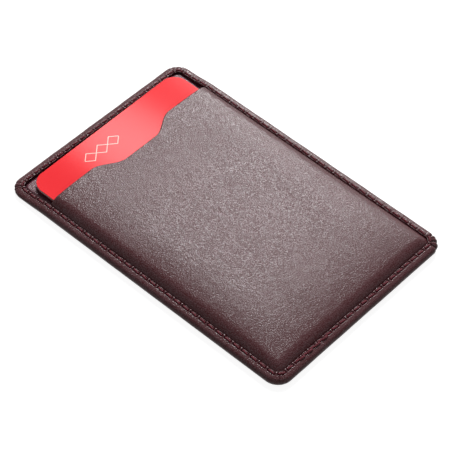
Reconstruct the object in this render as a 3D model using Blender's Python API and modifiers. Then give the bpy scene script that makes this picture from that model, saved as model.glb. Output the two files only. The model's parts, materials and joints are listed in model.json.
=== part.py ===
"""RFID card case of turned-edge leather, with one card in its pocket.

The back leather wraps round all four edges and is turned over onto the front as a narrow hem.
One lockstitched seam runs through hem, front panel, lining and back. The front panel goes under
the hem on three sides and stops short of the fourth, where a thumb notch shows the card.
A board, two shielding foils, a thin padding and two linings are sealed between the leathers.

Units are metres. X runs across the case, Y along it towards the mouth, +Z up.
The back lies on Z = 0 with the origin under the middle of the outline.
"""

import math

import bpy
import bmesh
import numpy as np

# The card, a plastic sheet of business card format
CARD_WIDTH = 0.055
CARD_LENGTH = 0.085
CARD_CORNER = 0.0042
CARD_CORE = 0.00048
CARD_SHEET = 0.00012
CARD_BOND = 0.00004
CARD_CLEARANCE = 0.00008
CARD_OFFSET = 0.0002
CARD_YAW_DEG = 0.8

# Room round the card, from its edge to the hem or to the end of the case
POCKET_SLACK = 0.0018
CLOSED_END_ROOM = 0.0042
LIP_ROOM = 0.0037

# Sheets and the glue line between them
LEATHER = 0.0007
LINING = 0.00015
SHIELD_FOIL = 0.00008
BACK_BOARD = 0.0004
PADDING = 0.0003
GLUE_LINE = 0.00005

# Turned edge and its seam
CORNER_RADIUS = 0.0045
STITCH_INSET = 0.0022
HEM_OVERLAP = 0.0005
EDGE_CROWN = 0.00035
CROWN_FALL = 0.00005
EDGE_LIFT = 0.00012
STITCH_PITCH = 0.0028
NEEDLE_THREAD_RADIUS = 0.0002
BOBBIN_THREAD_RADIUS = 0.00016
STITCH_ARCH = 0.0001
CHANNEL_HALF_WIDTH = 0.0002
CHANNEL_WALL = 0.00025
HEM_STEP_START = 0.0003
HEM_STEP_LENGTH = 0.003

# Sealed sheets in the back, measured in from the outline
BACK_FOIL_INSET = 0.0034
BACK_BOARD_INSET = 0.0052
BOARD_CORNER = 0.0015
LINING_EASE = 0.0002
LINING_RAMP = 0.0007

# Front panel and its mouth
MOUTH_SETBACK = 0.013
NOTCH_DEPTH = 0.0038
NOTCH_FLOOR_WIDTH = 0.011
NOTCH_TOP_WIDTH = 0.029
SIDE_SHOULDER_WIDTH = 0.0019
END_SHOULDER_WIDTH = 0.0028
PANEL_CROWN = 0.0005
CROWN_REACH = 0.016
MOUTH_EASE = 0.007
PADDING_INSET = 0.0072
PADDING_SETBACK = 0.005

# Where the grid lines of the front sheets lie, as shares of the stretch that they cross
SHOULDER_SHARES = (0.25, 0.5, 0.75, 1.0)
CROWN_SHARES = (0.45, 0.75)
FLANK_SHARES = (0.0, 0.25, 0.5, 0.75, 1.0)
BODY_SHARES = (0.33, 0.67)
MOUTH_ROWS_SHARES = ((2.0, 0.0), (1.3, 0.35), (0.72, 0.7), (0.3, 0.9), (0.0, 1.0))
STITCH_SHARES = (0.0, 0.2, 0.5, 0.8)

# How finely round corners, the two skins of the folded edge and the seam's path are divided
CORNER_STEPS = 6
OUTER_FOLD_STEPS = 3
INNER_FOLD_STEPS = 2
PATH_STEPS = 24

# What follows from the sizes above
HEM_WIDTH = STITCH_INSET + HEM_OVERLAP
CASE_WIDTH = CARD_WIDTH + 2 * (HEM_WIDTH + POCKET_SLACK)
CASE_LENGTH = CARD_LENGTH + CLOSED_END_ROOM + LIP_ROOM
HALF_WIDTH = CASE_WIDTH / 2
HALF_LENGTH = CASE_LENGTH / 2

LINING_BOTTOM = LEATHER + GLUE_LINE
LINING_TOP = LINING_BOTTOM + LINING
PANEL_SEAM_TOP = LINING_TOP + GLUE_LINE + LEATHER
HEM_HIGH = PANEL_SEAM_TOP + GLUE_LINE + LEATHER
HEM_LOW = LINING_TOP + GLUE_LINE + LEATHER
RAW_EDGE_INSET = (HEM_HIGH + EDGE_CROWN) / 2

FOIL_BOTTOM = LEATHER + GLUE_LINE
BOARD_BOTTOM = FOIL_BOTTOM + SHIELD_FOIL + GLUE_LINE
LINING_OVER_FOIL = BOARD_BOTTOM + LINING
LINING_OVER_BOARD = BOARD_BOTTOM + BACK_BOARD + GLUE_LINE + LINING

CARD_THICKNESS = CARD_CORE + 2 * (CARD_SHEET + CARD_BOND)
CARD_REST = LINING_OVER_BOARD + CARD_CLEARANCE
CARD_INNER_END = -HALF_LENGTH + CLOSED_END_ROOM
THREAD_LOW = NEEDLE_THREAD_RADIUS + GLUE_LINE
LIP_TOP = HEM_LOW + THREAD_LOW + STITCH_ARCH + NEEDLE_THREAD_RADIUS
LIP_RUN = HALF_LENGTH - STITCH_INSET - CARD_INNER_END
CARD_SLOPE = (LIP_TOP + CARD_CLEARANCE - CARD_REST) / LIP_RUN
CARD_TILT = math.atan(CARD_SLOPE)
CARD_YAW = math.radians(CARD_YAW_DEG)
SIDE_SLACK = POCKET_SLACK - CARD_OFFSET - math.sin(CARD_YAW) * CARD_LENGTH / 2
END_SLACK = CLOSED_END_ROOM - HEM_WIDTH - math.sin(CARD_YAW) * CARD_WIDTH / 2

MOUTH_Y = HALF_LENGTH - MOUTH_SETBACK
FRONT_STACK = LEATHER + GLUE_LINE + SHIELD_FOIL + GLUE_LINE + LINING


def clear_scene():
    for old in list(bpy.data.objects):
        bpy.data.objects.remove(old, do_unlink=True)


def new_collection(name):
    collection = bpy.data.collections.new(name)
    bpy.context.scene.collection.children.link(collection)
    return collection


def finish_material(name, colour, roughness, metallic=0.0):
    material = bpy.data.materials.new(name)
    material.use_nodes = True
    shader = material.node_tree.nodes["Principled BSDF"]
    shader.inputs["Base Color"].default_value = (*colour, 1.0)
    shader.inputs["Roughness"].default_value = roughness
    shader.inputs["Metallic"].default_value = metallic
    return material


def add_object(name, data, material, collection):
    piece = bpy.data.objects.new(name, data)
    piece.data.materials.append(material)
    collection.objects.link(piece)
    return piece


def outline(inset, least_radius=0.0, steps=CORNER_STEPS, stations=()):
    """Rounded rectangle that lies inset from the case's edge, as (x, y) points, anticlockwise.

    stations are extra points on the two long sides, given as Y."""
    radius = max(CORNER_RADIUS - inset, least_radius)
    across = HALF_WIDTH - inset - radius
    along = HALF_LENGTH - inset - radius
    corners = ((1, 1, 0), (-1, 1, 90), (-1, -1, 180), (1, -1, 270))
    points = []
    for sign_x, sign_y, first in corners:
        for step in range(steps + 1):
            angle = math.radians(first + 90 * step / steps)
            points.append((sign_x * across + radius * math.cos(angle),
                           sign_y * along + radius * math.sin(angle)))
        if (sign_x, sign_y) == (-1, 1):
            points.extend((inset - HALF_WIDTH, y) for y in sorted(stations, reverse=True))
        if (sign_x, sign_y) == (1, -1):
            points.extend((HALF_WIDTH - inset, y) for y in sorted(stations))
    return points


def mesh_object(name, mesh, material, collection):
    """Named object from a finished bmesh, with its faces turned outwards."""
    bmesh.ops.recalc_face_normals(mesh, faces=mesh.faces)
    data = bpy.data.meshes.new(name)
    mesh.to_mesh(data)
    mesh.free()
    return add_object(name, data, material, collection)


def bridge(mesh, rings):
    """Walls between closed rings of points, each ring joined to the next, and the rings' vertices."""
    loops = [[mesh.verts.new(point) for point in ring] for ring in rings]
    for low, high in zip(loops, loops[1:]):
        for index in range(len(low)):
            after = (index + 1) % len(low)
            mesh.faces.new((low[index], low[after], high[after], high[index]))
    return loops


def rounded_sheet(name, width, length, corner, bottom, thickness, material, collection):
    """Flat sheet with rounded corners: a cube whose four upright edges are bevelled."""
    mesh = bmesh.new()
    bmesh.ops.create_cube(mesh, size=1.0)
    bmesh.ops.scale(mesh, vec=(width, length, thickness), verts=mesh.verts)
    bmesh.ops.translate(mesh, vec=(0, 0, bottom + thickness / 2), verts=mesh.verts)
    upright = [edge for edge in mesh.edges
               if abs(edge.verts[0].co.z - edge.verts[1].co.z) > thickness / 2]
    bmesh.ops.bevel(mesh, geom=upright, offset=corner, segments=CORNER_STEPS, profile=0.5,
                    affect="EDGES")
    return mesh_object(name, mesh, material, collection)


def hem_top(y):
    """Height of the hem at the bottom of its stitch channel: it steps down past the mouth,
    where the panel no longer lies under it."""
    share = (y - MOUTH_Y - HEM_STEP_START) / HEM_STEP_LENGTH
    return HEM_HIGH + (HEM_LOW - HEM_HIGH) * min(max(share, 0.0), 1.0)


def outer_leather(material, collection):
    """Back, round edge and turned hem as one hide: a C-shaped section carried round the outline.

    The section starts under the back, crosses the bobbin thread's groove, goes round the edge,
    over the hem and its stitch channel, and returns along the inner side of the hide."""
    stations = (MOUTH_Y + HEM_STEP_START, MOUTH_Y + HEM_STEP_START + HEM_STEP_LENGTH)
    base = outline(0.0, stations=stations)
    tops = [hem_top(y) for _, y in base]
    lip = STITCH_INSET + CHANNEL_HALF_WIDTH
    shoulder = STITCH_INSET - CHANNEL_HALF_WIDTH
    crown = shoulder - CHANNEL_WALL
    crown_rise = EDGE_CROWN - CROWN_FALL
    groove = 2 * (BOBBIN_THREAD_RADIUS + GLUE_LINE) + STITCH_ARCH
    groove_half = CHANNEL_HALF_WIDTH + GLUE_LINE
    flat_back = HEM_WIDTH + HEM_OVERLAP

    def ring(profile):
        """One ring of points, from a function of the hem's height that gives inset and height."""
        loops = {}
        points = []
        for index, top in enumerate(tops):
            inset, height = profile(top)
            if inset not in loops:
                loops[inset] = outline(inset, stations=stations)
            x, y = loops[inset][index]
            points.append((x, y, height))
        return points

    def fixed(inset, height):
        return ring(lambda top: (inset, height))

    def hem(inset, rise):
        return ring(lambda top: (inset, top + rise))

    def fold(angle, wall):
        """Round the edge at an angle from its middle, wall inside the outer skin."""
        def profile(top):
            radius = (top + EDGE_CROWN) / 2
            reach = radius - wall
            return (radius - reach * math.cos(angle), radius + reach * math.sin(angle))
        return ring(profile)

    def half_turn(steps):
        """Angles from the underside of the fold to its top."""
        return [math.pi / 2 * step / steps for step in range(-steps, steps + 1)]

    rings = [fixed(flat_back, 0.0),
             fixed(STITCH_INSET + groove_half, 0.0),
             fixed(lip, groove),
             fixed(shoulder, groove),
             fixed(STITCH_INSET - groove_half, 0.0)]
    rings += [fold(angle, 0.0) for angle in half_turn(OUTER_FOLD_STEPS)]
    rings += [hem(crown, crown_rise),
              hem(shoulder, 0.0),
              hem(lip, 0.0),
              hem(HEM_WIDTH, EDGE_LIFT),
              hem(HEM_WIDTH, EDGE_LIFT - LEATHER),
              hem(lip, -LEATHER),
              hem(shoulder, -LEATHER),
              hem(crown, crown_rise - LEATHER)]
    rings += [fold(angle, LEATHER) for angle in reversed(half_turn(INNER_FOLD_STEPS))]
    rings += [fixed(flat_back, LEATHER)]
    mesh = bmesh.new()
    loops = bridge(mesh, rings)
    mesh.faces.new(loops[0])
    mesh.faces.new(loops[-1])
    return mesh_object("outer_leather", mesh, material, collection)


def back_lining(material, collection):
    """Lining of the pocket's back: an open sheet that steps up over the foil and the board,
    given its thickness by Solidify."""
    foil_edge = BACK_FOIL_INSET - LINING_EASE
    board_edge = BACK_BOARD_INSET - LINING_EASE
    steps = ((RAW_EDGE_INSET, LINING_TOP),
             (foil_edge - LINING_EASE, LINING_TOP),
             (foil_edge, LINING_OVER_FOIL),
             (board_edge - LINING_RAMP, LINING_OVER_FOIL),
             (board_edge, LINING_OVER_BOARD))
    mesh = bmesh.new()
    loops = bridge(mesh, [[(x, y, height) for x, y in outline(inset, BOARD_CORNER)]
                          for inset, height in steps])
    mesh.faces.new(loops[-1])
    piece = mesh_object("back_lining", mesh, material, collection)
    wall = piece.modifiers.new("sheet", "SOLIDIFY")
    wall.thickness = LINING
    wall.offset = -1.0
    wall.use_even_offset = True
    return piece


def ease(share):
    """Rise that starts steeply and levels out at 1."""
    return 1.0 - (1.0 - min(max(share, 0.0), 1.0)) ** 3


def swell(share):
    """Rise that starts gently and levels out at 1."""
    return 1.0 - (1.0 - min(max(share, 0.0), 1.0)) ** 2


def notch_dip(x):
    """How far the mouth edge is cut back at x: a flat floor with two S-shaped flanks."""
    flank = (NOTCH_TOP_WIDTH - NOTCH_FLOOR_WIDTH) / 2
    share = min(max((NOTCH_TOP_WIDTH / 2 - abs(x)) / flank, 0.0), 1.0)
    return NOTCH_DEPTH * share * share * (3 - 2 * share)


def grid_columns():
    """Distances in from the long side, from the raw edge to the middle line."""
    flank = (NOTCH_TOP_WIDTH - NOTCH_FLOOR_WIDTH) / 2
    notch_side = HALF_WIDTH - NOTCH_TOP_WIDTH / 2
    insets = [RAW_EDGE_INSET, HEM_WIDTH]
    insets += [HEM_WIDTH + SIDE_SHOULDER_WIDTH * share for share in SHOULDER_SHARES]
    insets += [PADDING_INSET]
    insets += [PADDING_INSET + (notch_side - PADDING_INSET) * share for share in CROWN_SHARES]
    insets += [notch_side + flank * share for share in FLANK_SHARES]
    insets += [HALF_WIDTH]
    return insets


def grid_rows():
    """Rows from the closed end to the mouth: distance in from the end, and share of the notch."""
    reach = MOUTH_Y + HALF_LENGTH
    insets = [RAW_EDGE_INSET, HEM_WIDTH]
    insets += [HEM_WIDTH + END_SHOULDER_WIDTH * share for share in SHOULDER_SHARES]
    insets += [PADDING_INSET]
    insets += [PADDING_INSET + CROWN_REACH * share for share in CROWN_SHARES]
    rows = [(inset, 0.0) for inset in insets]
    last = insets[-1]
    first_mouth = reach - MOUTH_ROWS_SHARES[0][0] * MOUTH_EASE
    rows += [(last + (first_mouth - last) * share, 0.0) for share in BODY_SHARES]
    rows += [(reach - MOUTH_EASE * back, dip) for back, dip in MOUTH_ROWS_SHARES]
    return rows


def grid_place(column_inset, side, row_inset, dip_share):
    """Where a column and a row of the front sheets cross, with the two corners of the closed
    end turned from square into round: the square rings become arcs about the corner's centre."""
    out_x = CORNER_RADIUS - column_inset
    out_y = CORNER_RADIUS - row_inset
    if out_x > 0 and out_y > 0:
        radius = max(out_x, out_y)
        angle = math.pi / 4 * min(out_x, out_y) / radius
        if out_y > out_x:
            angle = math.pi / 2 - angle
        out_x = radius * math.cos(angle)
        out_y = radius * math.sin(angle)
    x = side * (HALF_WIDTH - CORNER_RADIUS + out_x)
    y = -(HALF_LENGTH - CORNER_RADIUS + out_y)
    return x, y - dip_share * notch_dip(x)


def card_top(y):
    return CARD_REST + CARD_THICKNESS + CARD_SLOPE * (y - CARD_INNER_END)


def shoulder_rise():
    """How far the panel climbs from the seam, so that the sheets under it clear the card's long
    edges at the mouth and its short edge at the closed end."""
    above_seam = CARD_CLEARANCE + FRONT_STACK - PANEL_SEAM_TOP
    at_side = (card_top(MOUTH_Y) + above_seam) / ease(SIDE_SLACK / SIDE_SHOULDER_WIDTH)
    at_end = (card_top(CARD_INNER_END) + above_seam) / ease(END_SLACK / END_SHOULDER_WIDTH)
    return max(at_side, at_end)


def panel_height(x, y, column_inset, row_inset):
    """Top of the front panel. It climbs a steep shoulder from the hem to clear the card's edge,
    swells gently over the padding and settles again towards the mouth."""
    from_side = column_inset - HEM_WIDTH
    from_end = row_inset - HEM_WIDTH
    shoulder = ease(from_side / SIDE_SHOULDER_WIDTH) * ease(from_end / END_SHOULDER_WIDTH)
    crown = swell(from_side / CROWN_REACH) * swell(from_end / CROWN_REACH)
    to_mouth = MOUTH_Y - notch_dip(x) - y
    crown *= swell(to_mouth / MOUTH_EASE)
    return PANEL_SEAM_TOP + shoulder_rise() * shoulder + PANEL_CROWN * crown


def draped_sheet(name, first_line, last_row, depth, thickness, material, collection,
                 under_padding=False):
    """Sheet that follows the front panel, depth below its top and thickness through.

    It starts first_line grid lines in from the raw edge and ends last_row rows short of the
    mouth. A sheet that is under the padding drops by the padding's thickness where it lies."""
    insets = grid_columns()
    columns = [(inset, -1) for inset in insets[first_line:]]
    columns += [(inset, 1) for inset in reversed(insets[first_line:-1])]
    all_rows = grid_rows()
    rows = all_rows[first_line:len(all_rows) - last_row]
    padded_end = all_rows[padding_last_row()][0]
    mesh = bmesh.new()
    across = len(columns) - 1
    along = len(rows) - 1
    bmesh.ops.create_grid(mesh, x_segments=across, y_segments=along, size=1.0)
    for corner in mesh.verts:
        column_inset, side = columns[round((corner.co.x + 1) / 2 * across)]
        row_inset, dip_share = rows[round((corner.co.y + 1) / 2 * along)]
        x, y = grid_place(column_inset, side, row_inset, dip_share)
        top = panel_height(x, y, column_inset, row_inset) - depth
        least = min(column_inset, row_inset)
        if under_padding and least >= PADDING_INSET and row_inset <= padded_end:
            top -= PADDING + GLUE_LINE
        corner.co = (x, y, top)
    lower = bmesh.ops.extrude_face_region(mesh, geom=mesh.faces[:])
    moved = [item for item in lower["geom"] if isinstance(item, bmesh.types.BMVert)]
    bmesh.ops.translate(mesh, vec=(0, 0, -thickness), verts=moved)
    return mesh_object(name, mesh, material, collection)


def padding_last_row():
    """Index of the last row that the padding reaches: the padding stops short of the mouth."""
    reach = MOUTH_Y + HALF_LENGTH - PADDING_SETBACK
    inside = [index for index, (inset, _) in enumerate(grid_rows()) if inset <= reach]
    return inside[-1]


def seam_points(shares):
    """Places along the seam at the given shares of every stitch, as (x, y, share) rows."""
    loop = np.array(outline(STITCH_INSET, steps=PATH_STEPS))
    closed = np.vstack([loop, loop[:1]])
    lengths = np.hypot(*np.diff(closed, axis=0).T)
    travelled = np.concatenate([[0.0], np.cumsum(lengths)])
    count = round(travelled[-1] / STITCH_PITCH)
    pitch = travelled[-1] / count
    along = [((stitch + share) * pitch, share) for stitch in range(count) for share in shares]
    at = np.array([place for place, _ in along])
    x = np.interp(at, travelled, closed[:, 0])
    y = np.interp(at, travelled, closed[:, 1])
    return [(float(px), float(py), share) for px, py, (_, share) in zip(x, y, along)]


def thread_loop(name, radius, height, material, collection):
    """One endless thread round the seam: it dips at every needle hole and arches between them."""
    points = seam_points(STITCH_SHARES)
    curve = bpy.data.curves.new(name, "CURVE")
    curve.dimensions = "3D"
    curve.bevel_depth = radius
    curve.bevel_resolution = 0
    spline = curve.splines.new("POLY")
    spline.points.add(len(points) - 1)
    for point, (x, y, share) in zip(spline.points, points):
        point.co = (x, y, height(y, share), 1.0)
    spline.use_cyclic_u = True
    return add_object(name, curve, material, collection)


def needle_height(y, share):
    """Middle of the needle thread, clear of the highest hem within half a stitch."""
    reach = STITCH_PITCH / 2
    hem = max(hem_top(y - reach), hem_top(y), hem_top(y + reach))
    arch = 0.0 if share == 0.0 else STITCH_ARCH
    return hem + THREAD_LOW + arch


def bobbin_height(y, share):
    """Middle of the bobbin thread, sunk in the channel of the back."""
    arch = STITCH_ARCH if share == 0.0 else 0.0
    return GLUE_LINE + BOBBIN_THREAD_RADIUS + arch


def build_card(collection):
    """Laminated card on a carrier that lies along its slide, tipped up to clear the lip."""
    carrier = bpy.data.objects.new("card_slide", None)
    carrier.location = (CARD_OFFSET,
                        CARD_INNER_END + CARD_LENGTH / 2,
                        CARD_REST + math.sin(CARD_TILT) * CARD_LENGTH / 2)
    carrier.rotation_euler = (CARD_TILT, 0.0, CARD_YAW)
    collection.objects.link(carrier)
    plastic = finish_material("white_pvc", (0.86, 0.84, 0.82), 0.45)
    red = finish_material("red_printed_pvc", (0.78, 0.06, 0.07), 0.22)
    core_bottom = CARD_SHEET + CARD_BOND
    front_bottom = core_bottom + CARD_CORE + CARD_BOND
    layers = (("card_back_sheet", 0.0, CARD_SHEET, red),
              ("card_core", core_bottom, CARD_CORE, plastic),
              ("card_front_sheet", front_bottom, CARD_SHEET, red))
    for name, bottom, thickness, material in layers:
        sheet = rounded_sheet(name, CARD_WIDTH, CARD_LENGTH, CARD_CORNER, bottom, thickness,
                              material, collection)
        sheet.parent = carrier


def build_case(collection):
    leather = finish_material("burgundy_leather", (0.10, 0.03, 0.04), 0.42)
    lining = finish_material("lining_leather", (0.13, 0.07, 0.08), 0.6)
    foil = finish_material("shielding_foil", (0.72, 0.72, 0.73), 0.3, 1.0)
    board = finish_material("fibre_board", (0.42, 0.33, 0.25), 0.85)
    foam = finish_material("foam_padding", (0.75, 0.73, 0.68), 0.9)
    thread = finish_material("burgundy_thread", (0.28, 0.03, 0.05), 0.55)

    outer_leather(leather, collection)
    rounded_sheet("back_shield_foil", CASE_WIDTH - 2 * BACK_FOIL_INSET,
                  CASE_LENGTH - 2 * BACK_FOIL_INSET, BOARD_CORNER, FOIL_BOTTOM, SHIELD_FOIL,
                  foil, collection)
    rounded_sheet("back_board", CASE_WIDTH - 2 * BACK_BOARD_INSET,
                  CASE_LENGTH - 2 * BACK_BOARD_INSET, BOARD_CORNER, BOARD_BOTTOM, BACK_BOARD,
                  board, collection)
    back_lining(lining, collection)

    raw_edge_line, inside_hem_line = 0, 2
    padding_line = inside_hem_line + len(SHOULDER_SHARES)
    padding_end = len(grid_rows()) - 1 - padding_last_row()
    below_leather = LEATHER + GLUE_LINE
    below_foil = below_leather + SHIELD_FOIL + GLUE_LINE
    draped_sheet("front_panel", raw_edge_line, 0, 0.0, LEATHER, leather, collection)
    draped_sheet("front_padding", padding_line, padding_end, below_leather, PADDING,
                 foam, collection)
    draped_sheet("front_shield_foil", inside_hem_line, 1, below_leather, SHIELD_FOIL,
                 foil, collection, under_padding=True)
    draped_sheet("front_lining", inside_hem_line, 0, below_foil, LINING,
                 lining, collection, under_padding=True)

    thread_loop("needle_thread", NEEDLE_THREAD_RADIUS, needle_height, thread, collection)
    thread_loop("bobbin_thread", BOBBIN_THREAD_RADIUS, bobbin_height, thread, collection)


def main():
    clear_scene()
    collection = new_collection("rfid_card_case")
    build_case(collection)
    build_card(collection)
    print("case", round(CASE_WIDTH, 5), "x", round(CASE_LENGTH, 5),
          "card tilt", round(math.degrees(CARD_TILT), 3), "degrees")


main()
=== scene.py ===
# %% [markdown]
# # A leather card case, dressed round its frame
# The frame is a working model of the case: every sheet, thread and card layer at its real size.
# This notebook gives those pieces the look of the real ones. Each sheet is a surface worked out
# with numpy from a formula, so its folds, stitches and swellings stay easy to change.
# Lengths are in millimetres until a mesh is made, because leather work is measured in them.

# %% Load the frame
import json
import math

import bpy
import numpy as np
from mathutils import Matrix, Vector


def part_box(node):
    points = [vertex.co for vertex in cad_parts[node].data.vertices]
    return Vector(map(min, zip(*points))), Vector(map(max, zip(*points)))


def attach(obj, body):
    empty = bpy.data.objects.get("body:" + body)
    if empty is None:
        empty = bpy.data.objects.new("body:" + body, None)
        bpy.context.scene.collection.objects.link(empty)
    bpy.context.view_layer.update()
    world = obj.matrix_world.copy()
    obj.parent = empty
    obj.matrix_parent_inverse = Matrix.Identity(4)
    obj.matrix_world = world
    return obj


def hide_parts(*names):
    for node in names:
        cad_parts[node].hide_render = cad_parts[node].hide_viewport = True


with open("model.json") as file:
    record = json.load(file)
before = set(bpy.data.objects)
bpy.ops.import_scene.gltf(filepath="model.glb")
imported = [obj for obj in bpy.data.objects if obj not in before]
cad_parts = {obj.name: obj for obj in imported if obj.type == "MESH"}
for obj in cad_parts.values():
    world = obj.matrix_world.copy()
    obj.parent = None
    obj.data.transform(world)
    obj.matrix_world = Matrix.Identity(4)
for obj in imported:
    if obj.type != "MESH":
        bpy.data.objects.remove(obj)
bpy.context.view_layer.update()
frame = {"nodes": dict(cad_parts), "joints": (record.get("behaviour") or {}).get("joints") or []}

MM = 0.001

# %% [markdown]
# ## Sizes
# Overall sizes come from the frame's own boxes. What a box can't tell, such as the width of the
# hem, is written down once here, as a maker would note it before cutting the leather.


# %% Sizes from the frame and the maker's notes
def box_mm(node):
    """The lowest and highest corner of a node's box, in millimetres."""
    low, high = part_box(node)
    return np.array(low) / MM, np.array(high) / MM


hide_low, hide_high = box_mm("outer_leather")
_, panel_high = box_mm("front_panel")
WIDTH, LENGTH, HEM_PEAK = hide_high - hide_low
HALF_WIDTH = WIDTH / 2
HALF_LENGTH = LENGTH / 2
MOUTH = panel_high[1]

CORNER = 4.5
SEAM_INSET = 2.05
HEM = 2.65
STITCH = 2.8
LEATHER = 0.7
LINING = 0.15
FOIL = 0.08
PADDING = 0.3
BOARD = 0.4
GLUE = 0.05

EDGE_CROWN = 0.35
HEM_HIGH = HEM_PEAK - EDGE_CROWN
LINING_LOW = LEATHER + GLUE + LINING
SEAM_TOP = LINING_LOW + GLUE + LEATHER
FOLD_RADIUS = HEM_PEAK / 2
print(f"case {WIDTH:.1f} x {LENGTH:.1f} mm, hem {HEM_HIGH:.2f} mm high, mouth at {MOUTH:.2f}")

# %% [markdown]
# ## From arrays to a mesh
# A surface is a grid of points, so its faces follow a rule too: each one joins a point to its
# neighbours in the next column and the next row. One helper builds those faces, and another
# turns points and faces into a finished piece that rides on its body of the frame.


# %% Helpers for meshes
SHARP_DEGREES = 40


def smooth(share):
    """Rises from 0 to 1 with a level start and end."""
    share = np.clip(share, 0.0, 1.0)
    return share * share * (3 - 2 * share)


def ticks(*stretches):
    """Numbers along several stretches of (start, end, step), each start and the last end kept."""
    runs = [np.linspace(start, end, max(2, round(abs(end - start) / step) + 1))[:-1]
            for start, end, step in stretches]
    return np.concatenate([*runs, [stretches[-1][1]]])


def grid_faces(rows, columns, wrap_rows=False, wrap_columns=False):
    """Four-sided faces of a grid whose point (row, column) has the number row * columns + column.
    A wrapped direction joins its last line to its first."""
    row, column = np.meshgrid(np.arange(rows if wrap_rows else rows - 1),
                              np.arange(columns if wrap_columns else columns - 1), indexing="ij")
    next_row = (row + 1) % rows
    next_column = (column + 1) % columns
    return np.stack([row * columns + column, row * columns + next_column,
                     next_row * columns + next_column, next_row * columns + column],
                    axis=-1).reshape(-1, 4)


def make_piece(name, points, faces, material, body, slot, replaced, uv=None):
    """A finished piece from points in millimetres: shaded smooth up to an angle, riding on a
    body and standing for the frame's nodes that it replaces."""
    mesh = bpy.data.meshes.new(name)
    mesh.from_pydata((points * MM).tolist(), [], faces)
    if uv is not None:
        corners = np.zeros(len(mesh.loops), np.int32)
        mesh.loops.foreach_get("vertex_index", corners)
        layer = mesh.uv_layers.new(name="along")
        layer.data.foreach_set("uv", uv[corners].astype(np.float32).ravel())
    mesh.materials.append(material)
    piece = bpy.data.objects.new(name, mesh)
    bpy.context.scene.collection.objects.link(piece)
    mesh.shade_smooth()
    mesh.set_sharp_from_angle(angle=math.radians(SHARP_DEGREES))
    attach(piece, body)
    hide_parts(*replaced)
    print(f"{name}: {len(points)} points, {len(faces)} faces")
    return piece


def is_inside_out(points, faces):
    """True if the closed surface's signed volume is negative."""
    corner = points[faces]
    volume = np.einsum("ij,ij->i", corner[:, 0], np.cross(corner[:, 1], corner[:, 2])).sum()
    volume += np.einsum("ij,ij->i", corner[:, 0], np.cross(corner[:, 2], corner[:, 3])).sum()
    return volume < 0


# %% [markdown]
# ## Materials
# Each material starts from what the real thing is and how it was made. Colours are written as
# the eye sees them, in hexadecimal, and turned into the linear numbers that a renderer adds up.
# Pattern sizes are real sizes, turned into texture scales by one division.


# %% Helpers for materials
MATH = "ShaderNodeMath"


def linear(hex_colour):
    """Linear RGBA from an sRGB hex value: each channel through the sRGB curve."""
    channel = np.array([int(hex_colour[i:i + 2], 16) for i in (1, 3, 5)]) / 255
    low = channel / 12.92
    high = ((channel + 0.055) / 1.055) ** 2.4
    return (*np.where(channel <= 0.04045, low, high).tolist(), 1.0)


def per_mm(size):
    """Texture scale at which one feature takes up size millimetres of object space."""
    return 1 / (size * MM)


def add(tree, kind, inputs=None, **settings):
    """Adds a node with its settings. An input's value is a number, a colour, an output, or a
    node, which stands for its first output."""
    made = tree.nodes.new(kind)
    for key, value in settings.items():
        setattr(made, key, value)
    for key, value in (inputs or {}).items():
        if isinstance(value, bpy.types.Node):
            value = value.outputs[0]
        if isinstance(value, bpy.types.NodeSocket):
            tree.links.new(value, made.inputs[key])
        else:
            made.inputs[key].default_value = value
    return made


def new_material(name, **values):
    """A material with its shader's plain values set, and the object coordinates ready."""
    material = bpy.data.materials.new(name)
    material.use_nodes = True
    tree = material.node_tree
    shader = tree.nodes["Principled BSDF"]
    for key, value in values.items():
        shader.inputs[key.replace("_", " ")].default_value = value
    place = add(tree, "ShaderNodeTexCoord")
    return material, tree, shader, place.outputs["Object"]


# %% [markdown]
# ### The leather
# Drum-dyed calf with a satin finish. Its grain is a net of tiny pebbles, about half a millimetre
# across, with a finer grain on them and soft creases under them. The finish is glossier on the
# high spots. Their colour is also painted paler and greyer, a painted glint of the sheen, and the
# low ones are painted deep red, a painted shade. The dye takes unevenly, so the tone drifts over
# centimetres. The fine grain of a real hide is about a tenth of a millimetre and would be lost in
# a picture, so it is drawn as coarse as it needs to be to show.
# The lining is a split of such a hide, paler and duller. Its colours are set paler still, as
# painted light that lifts the shaded strip round the card.

# %% Burgundy leather
PEBBLE = 0.6
FINE_GRAIN = 0.25
CREASE = 2.2
DYE_DRIFT = 14
GRAIN_DEPTH = 0.05


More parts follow.
